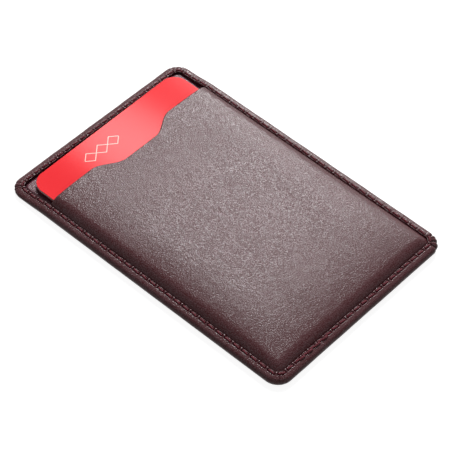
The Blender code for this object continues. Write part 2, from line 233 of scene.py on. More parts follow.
def leather_material(name, deep, pale, roughness):
    """Leather whose fine grain sets relief, colour and gloss together. The share of the pale
    colour is the grain with the drift added, and the roughness falls as the grain rises. On the
    high spots the pale colour is a painted glint of the sheen, and the deep colour in the low
    spots painted shade."""
    material, tree, shader, place = new_material(name, Specular_IOR_Level=0.17)
    pebbles = add(tree, "ShaderNodeTexVoronoi", {"Vector": place, "Scale": per_mm(PEBBLE)},
                  feature="DISTANCE_TO_EDGE")
    domes = add(tree, "ShaderNodeMapRange", {"Value": pebbles.outputs["Distance"],
                                             "From Max": 0.18, "To Max": 0.25},
                interpolation_type="SMOOTHSTEP")
    fine = add(tree, "ShaderNodeTexNoise", {"Vector": place, "Scale": per_mm(FINE_GRAIN),
                                            "Detail": 0.0})
    soft = add(tree, "ShaderNodeTexNoise", {"Vector": place, "Scale": per_mm(CREASE),
                                            "Detail": 1.0})
    drift = add(tree, "ShaderNodeTexNoise", {"Vector": place, "Scale": per_mm(DYE_DRIFT),
                                             "Detail": 2.0})
    speck = add(tree, "ShaderNodeMapRange", {"Value": fine.outputs["Fac"],
                                             "From Min": 0.35, "From Max": 0.73})
    drifted = add(tree, MATH, {0: drift.outputs["Fac"], 1: 0.6, 2: -0.35},
                  operation="MULTIPLY_ADD")
    share = add(tree, MATH, {0: speck.outputs["Result"], 1: 1.1, 2: drifted},
                operation="MULTIPLY_ADD")
    # Painted light: the pale colour on the high spots is a painted glint of the sheen and the
    # deep colour in the low spots painted shade; the slow drift is the dye's own unevenness.
    tone = add(tree, "ShaderNodeMix", {"Factor": share, "A": linear(deep), "B": linear(pale)},
               data_type="RGBA")
    grain = add(tree, MATH, {0: fine.outputs["Fac"], 1: domes.outputs["Result"]},
                operation="ADD")
    relief = add(tree, MATH, {0: soft.outputs["Fac"], 1: 1.2, 2: grain},
                 operation="MULTIPLY_ADD")
    gloss = add(tree, "ShaderNodeMapRange", {"Value": speck.outputs["Result"],
                                             "To Min": roughness + 0.24,
                                             "To Max": roughness - 0.11})
    bump = add(tree, "ShaderNodeBump", {"Height": relief, "Strength": 1.0,
                                        "Distance": GRAIN_DEPTH * MM})
    tree.links.new(tone.outputs["Result"], shader.inputs["Base Color"])
    tree.links.new(gloss.outputs["Result"], shader.inputs["Roughness"])
    tree.links.new(bump.outputs["Normal"], shader.inputs["Normal"])
    return material


# The pale colours are partly a painted glint of the sheen, and the deep ones partly painted shade
# in the low spots.
calf_leather = leather_material("burgundy calf leather", "#3b060c", "#5f4044", 0.17)
# Painted light: the lining's colours are raised to lift the shaded strip round the card.
lining_leather = leather_material("split lining leather", "#42202a", "#74464f", 0.24)


# %% [markdown]
# ### The thread
# Waxed polyester, laid up from three plies. The twist shows as fine slanting ridges, so its
# pattern follows the thread's own length, which the mesh carries in its UV map. The ridges are
# about 0.4 mm apart: a wave texture repeats every 2 pi / 10 / scale units, which is 1.26 at a
# scale of 0.5, and the map has three units to a millimetre. The colour is darker in the grooves
# between the ridges, a painted shade.

# %% Burgundy thread
PLY_DEPTH = 0.03


def thread_material():
    """Thread with diagonal bands, one to each ply, as its relief, and as its colour, which is
    darker in the grooves between them: painted shade.
    """
    material, tree, shader, _ = new_material("waxed polyester thread", Roughness=0.5,
                                             Specular_IOR_Level=0.25)
    length = add(tree, "ShaderNodeUVMap", uv_map="along")
    plies = add(tree, "ShaderNodeTexWave", {"Vector": length.outputs["UV"], "Scale": 0.5},
                bands_direction="DIAGONAL")
    # Painted shade: the colour is darker in the grooves of the twist, where the relief is low.
    tone = add(tree, "ShaderNodeMix", {"Factor": plies.outputs["Fac"], "A": linear("#340811"),
                                       "B": linear("#6c1526")}, data_type="RGBA")
    bump = add(tree, "ShaderNodeBump", {"Height": plies.outputs["Fac"], "Strength": 0.5,
                                        "Distance": PLY_DEPTH * MM})
    tree.links.new(tone.outputs["Result"], shader.inputs["Base Color"])
    tree.links.new(bump.outputs["Normal"], shader.inputs["Normal"])
    return material


burgundy_thread = thread_material()


# %% [markdown]
# ### The hidden sheets
# A foil laminate shields the card, a pressed fibre board stiffens the back, and a skin of
# closed-cell foam pads the front. They are sealed inside, but each still gets its own finish,
# because the model can be taken apart: the foil a bright, faintly crinkled metal, the board a
# dull felt of fibres that run one way, and the foam a matt skin of fine cells.

# %% Foil, board and foam
def speckled(name, dark, pale, size, stretch, depth, **values):
    """A material whose colour and relief both follow one noise, stretched along its grain."""
    material, tree, shader, place = new_material(name, **values)
    grain = add(tree, "ShaderNodeMapping", {"Vector": place, "Scale": stretch})
    noise = add(tree, "ShaderNodeTexNoise", {"Vector": grain.outputs["Vector"],
                                             "Scale": per_mm(size), "Detail": 4.0})
    tone = add(tree, "ShaderNodeMix", {"Factor": noise.outputs["Fac"], "A": linear(dark),
                                       "B": linear(pale)}, data_type="RGBA")
    bump = add(tree, "ShaderNodeBump", {"Height": noise.outputs["Fac"], "Strength": 0.4,
                                        "Distance": depth * MM})
    tree.links.new(tone.outputs["Result"], shader.inputs["Base Color"])
    tree.links.new(bump.outputs["Normal"], shader.inputs["Normal"])
    return material


shield_foil = speckled("aluminium foil laminate", "#b9babc", "#d8d9da", 3.0, (1, 1, 1), 0.05,
                       Metallic=1.0, Roughness=0.3)
fibre_board = speckled("pressed fibre board", "#8b7a63", "#b3a287", 0.8, (1, 0.25, 1), 0.03,
                       Roughness=0.85)
foam_skin = speckled("closed-cell foam", "#c9c4b8", "#e2ded4", 0.35, (1, 1, 1), 0.05,
                     Roughness=0.9)


# %% [markdown]
# ### The card
# White PVC core with a printed overlay pressed onto each face. The core shows as a pale line
# along the card's edge. The print is a flat red with a gloss film over it. A row of fine cream
# lozenges is a plain ornament. It needs no image: the sum of two folded coordinates is constant
# along a lozenge, so a thin band of that sum draws it.
# A card that has been carried bows a little, which shows only in its gloss. The print's relief
# therefore has a broad wave across the card, CARD_WAVE from crest to crest, with its steepest
# slope at CARD_WAVE_STEEP, and a slight lean. The film also has a faint orange peel.

# %% Card plastics
LOZENGE_LONG = 4.2
LOZENGE_HIGH = 3.4
LOZENGE_COUNT = 3
LOZENGE_LINE = 0.3
LOZENGE_PLACE = (-6.5, 37.4)
CARD_WAVE = 44.0
CARD_WAVE_STEEP = -1.0
CARD_WAVE_SLOPE = 0.085
CARD_LEAN = 0.055
PEEL = 1.2
PEEL_DEPTH = 0.002


def printed_material(turn_of_card):
    """The red print, its row of lozenges and the film's relief, along the card's own axes."""
    material, tree, shader, place = new_material("red gloss print", Roughness=0.25,
                                                 Specular_IOR_Level=0.075)
    centred = add(tree, "ShaderNodeMapping",
                  {"Vector": place, "Location": (LOZENGE_PLACE[0] * MM, LOZENGE_PLACE[1] * MM, 0),
                   "Rotation": (0, 0, turn_of_card)}, vector_type="TEXTURE")
    axis = add(tree, "ShaderNodeSeparateXYZ", {"Vector": centred.outputs["Vector"]})
    x, y = axis.outputs["X"], axis.outputs["Y"]
    half = LOZENGE_LONG * MM / 2
    shifted = add(tree, MATH, {0: x, 1: half}, operation="ADD")
    along = add(tree, MATH, {0: shifted, 1: 2 * half}, operation="PINGPONG")
    off_middle = add(tree, MATH, {0: along, 1: half}, operation="SUBTRACT")
    fold_x = add(tree, MATH, {0: off_middle}, operation="ABSOLUTE")
    fold_y = add(tree, MATH, {0: y}, operation="ABSOLUTE")
    across = add(tree, MATH, {0: fold_y, 1: LOZENGE_LONG / LOZENGE_HIGH}, operation="MULTIPLY")
    total = add(tree, MATH, {0: fold_x, 1: across}, operation="ADD")
    ring = add(tree, MATH, {0: total, 1: half, 2: LOZENGE_LINE * MM / 2}, operation="COMPARE")
    from_centre = add(tree, MATH, {0: x}, operation="ABSOLUTE")
    inside = add(tree, MATH, {0: from_centre, 1: half * LOZENGE_COUNT}, operation="LESS_THAN")
    print_share = add(tree, MATH, {0: ring, 1: inside}, operation="MULTIPLY")
    tone = add(tree, "ShaderNodeMix", {"Factor": print_share, "A": linear("#fb333a"),
                                       "B": linear("#f8e0d4")}, data_type="RGBA")
    peel = add(tree, "ShaderNodeTexNoise", {"Vector": place, "Scale": per_mm(PEEL)})
    per_turn = CARD_WAVE / (2 * math.pi)
    turn = add(tree, MATH, {0: x, 1: 1 / (per_turn * MM),
                            2: (LOZENGE_PLACE[0] - CARD_WAVE_STEEP) / per_turn},
               operation="MULTIPLY_ADD")
    swing = add(tree, MATH, {0: turn}, operation="SINE")
    wave = add(tree, MATH, {0: swing, 1: -CARD_WAVE_SLOPE * per_turn}, operation="MULTIPLY")
    lean = add(tree, MATH, {0: x, 1: CARD_LEAN / MM, 2: wave}, operation="MULTIPLY_ADD")
    relief = add(tree, MATH, {0: peel.outputs["Fac"], 1: PEEL_DEPTH, 2: lean},
                 operation="MULTIPLY_ADD")
    bump = add(tree, "ShaderNodeBump", {"Height": relief, "Strength": 1.0, "Distance": MM})
    tree.links.new(tone.outputs["Result"], shader.inputs["Base Color"])
    tree.links.new(bump.outputs["Normal"], shader.inputs["Normal"])
    return material


slide = np.array(frame["joints"][0]["axis"])
slide /= np.linalg.norm(slide)
red_print = printed_material(math.atan2(-slide[0], slide[1]))
card_plastic = speckled("white card plastic", "#d6d1cd", "#e6e2de", 1.5, (1, 1, 1), 0.005,
                        Roughness=0.45)

# %% [markdown]
# ## The hide
# One piece of leather is the back, the rolled edge and the hem. On the real case it is pasted
# over the edge and turned onto the front. Its section is a letter C, carried round the outline,
# so the surface has two parameters: the place along the outline and the place along the section.
# The stitches pull it down into a channel, it puffs up between them, and at the corners the
# surplus leather is gathered into small pleats.


# %% The outline and its seam
ARC = math.pi / 2 * (CORNER - SEAM_INSET)
SPANS = np.tile([ARC, 2 * (HALF_WIDTH - CORNER), ARC, 2 * (HALF_LENGTH - CORNER)], 2)
SPAN_STARTS = np.concatenate([[0.0], np.cumsum(SPANS)])
ARC_CENTRES = np.array([[1, 1], [-1, 1], [-1, -1], [1, -1]]) * (HALF_WIDTH - CORNER,
                                                               HALF_LENGTH - CORNER)


def outline_at(place):
    """Points on the outline and outward normals, at distances along the seam, anticlockwise. The
    outline is four arcs and four sides by turns: on an arc the normal turns about a still centre,
    and along a side the centre moves to the next arc's."""
    place = place % SPAN_STARTS[-1]
    span = np.searchsorted(SPAN_STARTS, place, side="right") - 1
    share = (place - SPAN_STARTS[span]) / SPANS[span]
    corner = span // 2
    on_arc = span % 2 == 0
    angle = math.pi / 2 * (corner + np.where(on_arc, share, 1.0))
    normals = np.stack([np.cos(angle), np.sin(angle)], axis=1)
    run = ARC_CENTRES[(corner + 1) % 4] - ARC_CENTRES[corner]
    centre = ARC_CENTRES[corner] + np.where(on_arc, 0.0, share)[:, None] * run
    return centre + CORNER * normals, normals


DROP_BEFORE_MOUTH = 1.0
DROP_RUN = 9.0


def hem_height(y):
    """Height of the stitch channel. Past the mouth no panel lies under the hem, so it drops."""
    return HEM_HIGH + (SEAM_TOP - HEM_HIGH) * smooth((y - MOUTH + DROP_BEFORE_MOUTH) / DROP_RUN)


seam_length = SPAN_STARTS[-1]
STITCHES = round(seam_length / STITCH)
PITCH = seam_length / STITCHES
print(f"seam {seam_length:.1f} mm, {STITCHES} stitches of {PITCH:.2f} mm")


# %% Stations along the seam
HIDE_PHASES = np.array([-0.5, -0.45, -0.405, -0.37, -0.34, -0.31, -0.275, -0.2,
                        -0.07, 0.07, 0.2, 0.275, 0.31, 0.34, 0.37, 0.405, 0.45])
CORNER_STATIONS = 56
LEAST_APART = 0.025


def hide_stations():
    """Distances along the seam for the hide's columns: close together at every needle hole, and
    everywhere on the corners, where the pleats are narrow."""
    stitches = (np.arange(STITCHES)[:, None] + 0.5 + HIDE_PHASES).ravel() * PITCH % seam_length
    corners = (SPAN_STARTS[:-1:2, None] + np.linspace(0, ARC, CORNER_STATIONS)).ravel()
    place = np.sort(np.concatenate([stitches, corners]))
    apart = np.diff(place, append=seam_length + place[0])
    return place[apart > LEAST_APART]


travelled = hide_stations()
edge, outward = outline_at(travelled)
print(len(travelled), "stations round the hide")

# %% Folds, puffs and pleats
BRIDGE_START = 0.29
BRIDGE_RUN = 0.13
HOLE_PHASE = 0.335
HOLE_LENGTH = 0.2


def stitch_bridge(place):
    """0 over a stitch and 1 where the leather closes between two stitches."""
    phase = np.abs((place / PITCH) % 1 - 0.5)
    return smooth((phase - BRIDGE_START) / BRIDGE_RUN)


def needle_hole(place):
    """1 where the thread goes down through the leather, at both ends of each stitch."""
    phase = (place / PITCH) % 1 - 0.5
    return np.exp(-((np.abs(phase) - HOLE_PHASE) * PITCH / HOLE_LENGTH) ** 2)


def waver(place, size):
    """Slow unevenness along the edge: three waves, each a whole number of times round it."""
    turn = 2 * math.pi * place / seam_length
    return size * (np.sin(19 * turn + 1) + 0.6 * np.sin(43 * turn + 2) + 0.4 * np.sin(89 * turn))


# For each corner, its pleats as (degrees from its start, width in degrees, depth).
PLEATS = {0: ((30, 3.0, 0.20), (50, 3.5, 0.16), (68, 3.0, 0.14)),
          1: ((26, 3.0, 0.18), (46, 3.5, 0.30), (58, 3.0, 0.20)),
          2: ((26, 3.0, 0.10), (47, 2.5, 0.24), (66, 3.0, 0.10)),
          3: ((19, 5.5, 0.55), (45, 5.0, 0.6), (62, 3.0, 0.25), (79, 4.5, 0.5))}


def pleat_depth(normals):
    """How deep the pleats cut in: for each, a sharp valley between two low ridges."""
    angle = np.degrees(np.arctan2(normals[:, 1], normals[:, 0])) % 360
    depth = np.zeros(len(normals))
    for corner, pleats in PLEATS.items():
        for middle, width, deep in pleats:
            off = (angle - 90 * corner - middle) / width
            depth += deep * (np.exp(-np.abs(off) ** 1.3) - 0.22 * np.exp(-(off / 2.6) ** 2))
    return depth


# %% Build the hide
EDGE_ROLL = 0.85
HEM_SLOPE = 0.2
CREST = 2.2
LIP_SLOPE = 0.09
LIP_THICKNESS = 0.24
THREAD_BED = 0.3
BED_WIDTH = 0.28
HOLE_DEPTH = 0.6
HOLE_WIDTH = 0.24
PUFF = 0.1
PUFF_START = 1.65
PLEATS_FADE = 1.75
SOFT_RUN = 0.35
BOBBIN_CHANNEL = 0.45
BOBBIN_CHANNEL_HALF = 0.3
BOBBIN_BRIDGE = 0.3
BACK_RIM = 3.2
HEM_TOP_ROWS = (0.95, 1.15, 1.35, 1.5, 1.62, 1.72, 1.8, 1.86, 1.92, 1.98, 2.05, 2.12, 2.18,
                2.24, 2.3, 2.38, 2.46, 2.54)


def hem_level(inset, top):
    """The hem's upper side: a quarter of an ellipse rolls from the edge onto a ramp, which climbs
    to a crest beside the seam and then falls a little to the lip."""
    radius = (top + EDGE_CROWN) / 2
    quarter = np.sqrt(1 - np.clip(1 - inset / EDGE_ROLL, 0, 1) ** 2)
    ramp = radius - HEM_SLOPE * np.clip(CREST - inset, 0, None)
    return radius + ramp * quarter - LIP_SLOPE * np.clip(inset - CREST, 0, None)


def hide_rows(top, place):
    """The section, row by row: inset, height, and the shares by which the row's own normal and
    the pleats move it. The fold is half a circle below, and the hem's level above."""
    bridge = stitch_bridge(place)
    hole = needle_hole(place)
    radius = (top + EDGE_CROWN) / 2
    rows = [(BACK_RIM, 0 * top, 0, 0, 0)]
    for off in np.linspace(1, -1, 5):
        rows.append((SEAM_INSET + off * BOBBIN_CHANNEL_HALF,
                     (BOBBIN_CHANNEL - BOBBIN_BRIDGE * bridge) * (1 - off ** 2) ** 2, 0, 0, 0))
    for angle in np.radians(np.linspace(-90, 0, 7)):
        rows.append((radius * (1 - math.cos(angle)), radius * (1 + math.sin(angle)),
                     math.cos(angle), math.sin(angle), smooth((math.sin(angle) + 0.7) / 0.7)))
    for angle in np.radians(np.linspace(10, 82, 8)):
        inset = EDGE_ROLL * (1 - math.cos(angle))
        rows.append((inset, hem_level(inset, top), math.cos(angle), math.sin(angle), 1))
    for inset in HEM_TOP_ROWS:
        off = inset - SEAM_INSET
        bed = THREAD_BED * (1 - bridge) * np.exp(-(off / BED_WIDTH) ** 2)
        pit = HOLE_DEPTH * hole * np.exp(-(off / HOLE_WIDTH) ** 2)
        puff = PUFF * bridge * smooth((inset - PUFF_START) / SOFT_RUN)
        fade = 1 - smooth((inset - PLEATS_FADE) / SOFT_RUN)
        rows.append((inset, hem_level(inset, top) - bed - pit + puff, 0, 1, fade))
    lip = rows[-1][1] - 0.1 * hole
    rows += [(HEM - 0.03, lip - 0.03, 0, 0, 0), (HEM, lip - 0.1, 0, 0, 0),
             (HEM, lip - LIP_THICKNESS, 0, 0, 0), (SEAM_INSET + 0.1, top - LEATHER, 0, 0, 0)]
    for angle in np.radians(np.linspace(90, -90, 5)):
        rows.append((radius - (radius - LEATHER) * math.cos(angle),
                     radius + (radius - LEATHER) * math.sin(angle), 0, 0, 0))
    rows.append((BACK_RIM, 0 * top + LEATHER, 0, 0, 0))
    return rows


def build_hide():
    """Sweeps the section round the outline: a point is the edge point moved in by the row's
    inset along the normal, at the row's height, then pushed along the row's own normal."""
    top = hem_height(edge[:, 1])
    push = waver(travelled, 0.02) - pleat_depth(outward)
    layers = []
    for inset, height, out_share, up_share, weight in hide_rows(top, travelled):
        moved = push * weight
        flat = edge - (inset - moved * out_share)[:, None] * outward
        layers.append(np.column_stack([flat, height + moved * up_share]))
    points = np.concatenate(layers)
    rows, columns = len(layers), len(edge)
    faces = grid_faces(rows, columns, wrap_columns=True).tolist()
    first = list(range(columns))
    last = list(range((rows - 1) * columns, rows * columns))
    return points, [first[::-1], *faces, last]


hide_points, hide_faces = build_hide()
make_piece("hide", hide_points, hide_faces, calf_leather, "case", "burgundy_leather",
           ["outer_leather"])

# %% [markdown]
# ## Sheets with round corners
# The front panel, foils, linings and card layers are all flat-cut sheets with round corners.
# A square grid becomes such a sheet when its corner squares are bent into quarter discs: each
# small square ring about the corner's centre turns into an arc. Two skins and a rim close it.


# %% Helpers for sheets
def round_corners(x, y, half_width, half_length, radius):
    """Bends a rectangular grid's corner squares into quarter discs of the given radius."""
    out_x = np.abs(x) - (half_width - radius)
    out_y = np.abs(y) - (half_length - radius)
    in_corner = (out_x > 0) & (out_y > 0)
    reach = np.maximum(out_x, out_y)
    angle = math.pi / 4 * np.minimum(out_x, out_y) / np.where(in_corner, reach, 1)
    angle = np.where(out_y > out_x, math.pi / 2 - angle, angle)
    new_x = np.sign(x) * (half_width - radius + reach * np.cos(angle))
    new_y = np.sign(y) * (half_length - radius + reach * np.sin(angle))
    return np.where(in_corner, new_x, x), np.where(in_corner, new_y, y)


def closed_sheet(x, y, top, bottom):
    """Points and faces of a closed sheet from its two skins, grids of one shape, and a rim."""
    rows, columns = x.shape
    number = np.arange(rows * columns).reshape(rows, columns)
    points = np.concatenate([np.column_stack([x.ravel(), y.ravel(), skin.ravel()])
                             for skin in (top, bottom)])
    upper = grid_faces(rows, columns)
    lower = upper[:, ::-1] + rows * columns
    rim = np.concatenate([number[0, :-1], number[:-1, -1], number[-1, :0:-1], number[:0:-1, 0]])
    after = np.roll(rim, -1)
    wall = np.stack([after, rim, rim + rows * columns, after + rows * columns], axis=1)
    faces = np.concatenate([upper, lower, wall])
    if is_inside_out(points, faces):
        faces = faces[:, ::-1]
    return points, faces.tolist()


# %% [markdown]
# ## The front panel
# The panel comes out from under the hem on three sides, climbs a steep shoulder over the card's
# edge and swells over its padding. Its height is a function of the distances from the side and
# from the closed end. A rise from the side times a rise from the end rounds the corner between
# the two, as pulled leather does. Towards the mouth the shoulder climbs and the swelling sinks.
# The mouth edge is cut back in a notch for the thumb.

# %% The panel's height
SHOULDER_START = 2.25
SHOULDER_REACH = 3.8
SHOULDER_CLOSED = 1.78
SHOULDER_MOUTH = 2.3
PILLOW = 1.37
PILLOW_SIDE_REACH = 13.5
PILLOW_SIDE_POWER = 2.5
PILLOW_END_REACH = 31.0
PILLOW_END_POWER = 4.2
MOUTH_SAG = 0.56
SAG_START = 0.35
NOTCH_DEPTH = 3.8
NOTCH_FLOOR = 11.0
NOTCH_TOP = 29.0


def notch_dip(x):
    """How far the mouth is cut back at x: a flat floor with two S-shaped flanks."""
    return NOTCH_DEPTH * smooth((NOTCH_TOP / 2 - np.abs(x)) / ((NOTCH_TOP - NOTCH_FLOOR) / 2))


def rise(distance, reach, power):
    """From 0 to 1 over reach, steep at first and level at the end: 1 less a falling power."""
    return 1 - (1 - np.clip(distance / reach, 0, 1)) ** power


def panel_height(x, y):
    """A steep shoulder over the card's edge and a wide pillow. Each is a product of a rise from
    the side and one from the closed end, so both are level where two sides meet."""
    from_side = HALF_WIDTH - np.abs(x) - SHOULDER_START
    from_end = HALF_LENGTH + y - SHOULDER_START
    along = np.clip(from_end / (HALF_LENGTH + MOUTH), 0, 1)
    shoulder = SHOULDER_CLOSED + (SHOULDER_MOUTH - SHOULDER_CLOSED) * along ** 2
    sag = np.clip(along - SAG_START, 0, None) / (1 - SAG_START)
    pillow = PILLOW * (1 - MOUTH_SAG * sag ** 2)
    steep = rise(from_side, SHOULDER_REACH, 3) * rise(from_end, SHOULDER_REACH, 3)
    gentle = (rise(from_side, PILLOW_SIDE_REACH, PILLOW_SIDE_POWER) *
              rise(from_end, PILLOW_END_REACH, PILLOW_END_POWER))
    return SEAM_TOP + shoulder * steep + pillow * gentle


# %% Build the panel
SIDE_MARGIN = 5.2
END_MARGIN = 6.2
MOUTH_MARGIN = 1.2
NOTCH_PULL = 16


def stretches_from(start, *ends):
    """Stretches that run on from start to each (end, step), without the ends behind the start."""
    stretches = []
    for end, step in ends:
        if end > start:
            stretches.append((start, end, step))
            start = end
    return stretches


def panel_grid(first, last_back, side_step, body_step):
    """Grid over the panel, from first millimetres inside the outline to last_back short of the
    mouth. The rows follow the notch more and more closely as they near the mouth."""
    side = ticks(*stretches_from(first, (HEM, 0.4), (SIDE_MARGIN, side_step),
                                 (HALF_WIDTH, body_step)))
    x_line = np.concatenate([side - HALF_WIDTH, (HALF_WIDTH - side)[-2::-1]])
    reach = MOUTH + HALF_LENGTH - last_back
    row_line = ticks(*stretches_from(first, (HEM, 0.4), (END_MARGIN, side_step),
                                     (reach - MOUTH_MARGIN, body_step), (reach, 0.1)))
    x, from_end = np.meshgrid(x_line, row_line)
    y = from_end - HALF_LENGTH
    x, y = round_corners(x, y, HALF_WIDTH, HALF_LENGTH, CORNER)
    pull = smooth((from_end - (reach - NOTCH_PULL)) / NOTCH_PULL) ** 1.5
    return x, y - pull * notch_dip(x), reach - from_end


def build_panel():
    """The panel's two skins, which curl into each other at the mouth: the thickness falls to
    nothing there as the height of a half circle does."""
    x, y, to_mouth = panel_grid(FOLD_RADIUS, 0.0, 0.14, 0.38)
    middle = panel_height(x, y) - LEATHER / 2
    curl = np.clip(1 - to_mouth / (LEATHER / 2), 0, 1)
    half = LEATHER / 2 * np.sqrt(np.clip(1 - curl ** 2, 0.01, 1))
    return closed_sheet(x, y, middle + half, middle - half)


make_piece("front_leather", *build_panel(), calf_leather, "case", "burgundy_leather",
           ["front_panel"])

# %% Build the sheets under the panel
PAD_INSET = 7.4
PAD_SHORT = 5.2
SHEET_INSET = 3.2
FOIL_SHORT = 2.1
LINING_SHORT = 0.25
PAD_CLEAR = 1.0
PAD_RAMP = 0.8
PARED_WIDTH = 4
PARED_RAMP = 3
LINING_PARED = 0.65


def draped_sheet(first, last_back, depth, thickness, under_padding, pared=0.0):
    """A thin sheet that follows the panel at a depth, and dips under the padding's extent. The
    share pared is taken off its thickness beside the outline, and less and less further in."""
    x, y, to_mouth = panel_grid(first, last_back, 0.35, 0.9)
    top = panel_height(x, y) - depth
    if under_padding:
        from_side = HALF_WIDTH - np.abs(x)
        from_end = HALF_LENGTH + y
        inset = np.minimum(from_side, from_end)
        behind_mouth = to_mouth + last_back
        padded = np.minimum(smooth((inset - (PAD_INSET - PAD_CLEAR)) / PAD_RAMP),
                            smooth((behind_mouth - (PAD_SHORT - PAD_CLEAR)) / PAD_RAMP))
        top = top - (PADDING + GLUE) * padded
        thickness = thickness * (1 - pared * (1 - smooth((inset - PARED_WIDTH) / PARED_RAMP)))
    return closed_sheet(x, y, top, top - thickness)


below_leather = LEATHER + GLUE
below_foil = below_leather + FOIL + GLUE
pad = make_piece("padding",
                 *draped_sheet(PAD_INSET, PAD_SHORT, below_leather, PADDING, False),
                 foam_skin, "case", "foam_padding", ["front_padding"])
make_piece("front_foil",
           *draped_sheet(SHEET_INSET, FOIL_SHORT, below_leather, FOIL, True), shield_foil,
           "case", "shielding_foil", ["front_shield_foil"])
# Linings are pared thin towards the seam, which also gives the card's edges room here.
make_piece("pocket_front_lining",
           *draped_sheet(SHEET_INSET, LINING_SHORT, below_foil, LINING, True, LINING_PARED),
           lining_leather, "case", "lining_leather", ["front_lining"])

# %% [markdown]
# ## The lining behind the card
# It shows in a narrow strip round the card's end. It is glued to the hide at the seam, and from
# there it stretches up over the edges of the foil and the board under it. Its height depends only
# on the distance from the outline.

# %% Build the back lining
OVER_BOARD = LEATHER + FOIL + BOARD + LINING + 3 * GLUE
FINE_MARGIN = 5.6
CLIMB_START = 2.6
CLIMB_RUN = 0.8


def build_back_lining():
    """A sheet whose grid is fine in the margin that shows and coarse inside it."""
    side = ticks((FOLD_RADIUS, FINE_MARGIN, 0.18), (FINE_MARGIN, HALF_WIDTH, 1.6))
    end = ticks((FOLD_RADIUS, FINE_MARGIN, 0.18), (FINE_MARGIN, HALF_LENGTH, 1.6))
    x_line = np.concatenate([side - HALF_WIDTH, (HALF_WIDTH - side)[-2::-1]])
    y_line = np.concatenate([end - HALF_LENGTH, (HALF_LENGTH - end)[-2::-1]])
    flat_x, flat_y = np.meshgrid(x_line, y_line)
    inset = np.minimum(HALF_WIDTH - np.abs(flat_x), HALF_LENGTH - np.abs(flat_y))
    x, y = round_corners(flat_x, flat_y, HALF_WIDTH, HALF_LENGTH, CORNER)
    top = LINING_LOW + (OVER_BOARD - LINING_LOW) * smooth((inset - CLIMB_START) / CLIMB_RUN)
    return closed_sheet(x, y, top, top - LINING)


make_piece("pocket_back_lining", *build_back_lining(), lining_leather, "case",
           "lining_leather", ["back_lining"])

# %% [markdown]
# ## The seam
# A lockstitch has two threads. The needle thread lies on the hem between two holes, dives
# through each hole and comes up again, so it is one endless cord with a height that rises and
# falls once per stitch. The slanted needle point sets each stitch a little askew. The bobbin
# thread does the same on the back. A tube follows each line: rings of points about the line,
# spread along its normal and upwards.


# %% Thread tubes
UV_PER_MM = 3
UV_ROUND = 1.2


def seam_line(place):
    """Points and outward normals on the seam at distances along it."""
    points, normals = outline_at(place)
    points = points - SEAM_INSET * normals
    return points[:, 0], points[:, 1], normals


def tube(centre, radius, sides, closed):
    """Points and faces of a tube about a line: at each point a ring in the plane square to the
    line, spanned by the sideways and the upward direction."""
    ahead = np.roll(centre, -1, axis=0) - np.roll(centre, 1, axis=0)
    if not closed:
        ahead[0], ahead[-1] = centre[1] - centre[0], centre[-1] - centre[-2]
    ahead /= np.linalg.norm(ahead, axis=1)[:, None]
    sideways = np.cross(ahead, (0, 0, 1))
    sideways /= np.linalg.norm(sideways, axis=1)[:, None]
    upward = np.cross(sideways, ahead)
    angle = 2 * math.pi * np.arange(sides) / sides
    ring = (np.cos(angle)[None, :, None] * sideways[:, None] +
            np.sin(angle)[None, :, None] * upward[:, None])
    points = (centre[:, None] + radius * ring).reshape(-1, 3)
    faces = grid_faces(len(centre), sides, wrap_rows=closed, wrap_columns=True)
    inside_out = is_inside_out(points, faces)
    faces = faces.tolist()
    if not closed:
        last = len(points) - sides
        faces += [list(range(sides))[::-1], list(range(last, len(points)))]
    return points, [face[::-1] for face in faces] if inside_out else faces


def thread_uv(line_length, rings, sides):
    """UV of a tube, in thirds of a millimetre: v is the length along it, and u grows by
    UV_ROUND millimetres in one turn round it."""
    along = np.linspace(0, line_length, rings)
    around = np.arange(sides) / sides * UV_ROUND
    v, u = np.meshgrid(along, around, indexing="ij")
    return np.stack([u.ravel(), v.ravel()], axis=1) * UV_PER_MM


# %% Sew the seam
NEEDLE_RADIUS = 0.27
BOBBIN_RADIUS = 0.16
SIDES = 8
SLANT = 0.07
STITCH_LIFT = 0.24
STITCH_BOW = 0.05
NEEDLE_DIVE = 0.85
NEEDLE_DIVE_START = 0.23
BOBBIN_DIVE = 0.5
BOBBIN_DIVE_START = 0.25
DIVE_RUN = 0.15
PHASES = np.array([-0.5, -0.4, -0.345, -0.3, -0.25, -0.12, 0.0, 0.12, 0.25, 0.3, 0.345, 0.4])


def stitch_phases(first, count):
    """Distances along the seam at fixed phases of each stitch, and those phases."""
    stitch = np.repeat(np.arange(count) + first, len(PHASES))
    phase = np.tile(PHASES, count)
    return (stitch + 0.5 + phase) * PITCH, phase


def needle_line(place, phase, lift=0.0, aside=0.0):
    """The thread bows a little over each stitch and dives at both its ends."""
    x, y, normal = seam_line(place)
    dive = smooth((np.abs(phase) - NEEDLE_DIVE_START) / DIVE_RUN)
    out = SLANT * np.sin(2 * math.pi * phase) + aside
    height = (hem_height(y) + STITCH_LIFT + lift + STITCH_BOW * np.cos(math.pi * phase) -
              NEEDLE_DIVE * dive)
    return np.column_stack([x + out * normal[:, 0], y + out * normal[:, 1], height])


def bobbin_line(place, phase):
    """The thread lies flat on the back and dives upwards, to meet the needle thread."""
    x, y, _ = seam_line(place)
    dive = smooth((np.abs(phase) - BOBBIN_DIVE_START) / DIVE_RUN)
    return np.column_stack([x, y, GLUE + BOBBIN_RADIUS + BOBBIN_DIVE * dive])


place, phase = stitch_phases(0, STITCHES)
needle_points, needle_faces = tube(needle_line(place, phase), NEEDLE_RADIUS, SIDES, True)
needle_uv = thread_uv(seam_length, len(place), SIDES)
bobbin_points, bobbin_faces = tube(bobbin_line(place, phase), BOBBIN_RADIUS, SIDES, True)

